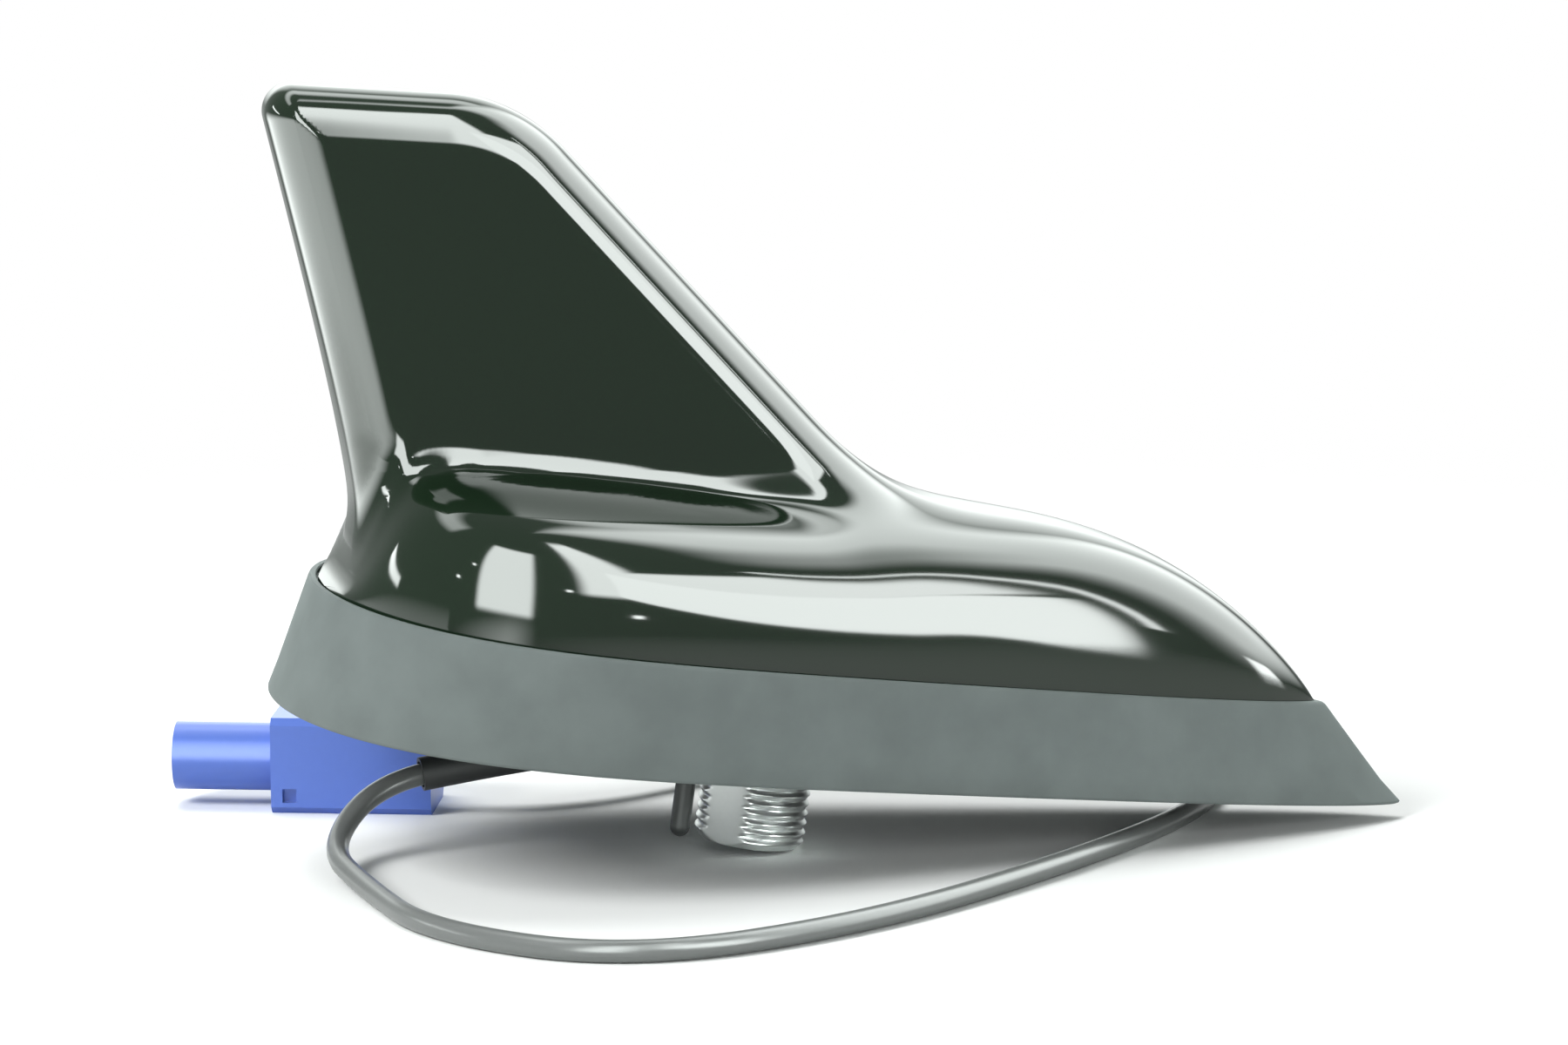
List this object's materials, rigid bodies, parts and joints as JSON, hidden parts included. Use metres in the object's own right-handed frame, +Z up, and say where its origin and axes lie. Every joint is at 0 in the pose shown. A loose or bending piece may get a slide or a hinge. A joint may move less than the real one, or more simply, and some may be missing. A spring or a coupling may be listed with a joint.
{
  "type": "car roof antenna",
  "caption": "Shark-fin car roof antenna: gloss black hollow cover on a grey rubber gasket, threaded stud below, and a loose coax lead with a blue coded plug.",
  "frame": {"origin": "where the stud's axis meets the plane of the gasket's underside", "axes": "+Z up from the roof along the stud, +X forwards to the pointed nose, +Y to the far side of the picture"},
  "size_m": [0.1566, 0.1085, 0.0987],
  "materials": {
    "gloss_black": "polished gloss black with the lights mirrored in it",
    "grey_rubber": "matte mid grey",
    "black_plastic": "fine moulded texture",
    "stud_steel": "bright zinc plating",
    "screw_steel": "zinc plating",
    "board_green": "solder mask",
    "foam_tape": "adhesive foam",
    "ceramic_tan": "fired ceramic",
    "silver_print": "printed silver",
    "brass_pin": "gilded",
    "tinned_can": "tinned sheet",
    "lead_black": "satin cable jacket",
    "sleeve_black": "shrunk sleeve",
    "grommet_rubber": "soft black",
    "connector_blue": "satin moulding",
    "brass_shell": "plated",
    "white_insulator": "smooth"
  },
  "bodies": {
    "root": {"fin_cover": "gloss_black", "gasket": "grey_rubber", "base_plate": "black_plastic", "roof_stud": "stud_steel", "cover_screw_rear_far": "screw_steel", "cover_screw_rear_near": "screw_steel", "cover_screw_side_far": "screw_steel", "cover_screw_side_near": "screw_steel", "cover_screw_nose": "screw_steel", "circuit_board": "board_green", "board_screw_rear_far": "screw_steel", "board_screw_rear_near": "screw_steel", "board_screw_front": "screw_steel", "patch_tape": "foam_tape", "patch_ceramic": "ceramic_tan", "patch_electrode": "silver_print", "patch_feed_pin": "brass_pin", "shield_can": "tinned_can", "coax_lead": "lead_black", "cable_sleeve": "sleeve_black", "cable_grommet": "grommet_rubber", "cable_tail": "lead_black", "board_terminal": "tinned_can", "connector_housing": "connector_blue", "connector_shell": "brass_shell", "connector_insulator": "white_insulator", "connector_pin": "brass_pin", "crimp_ferrule": "tinned_can"}
  },
  "joints": []
}
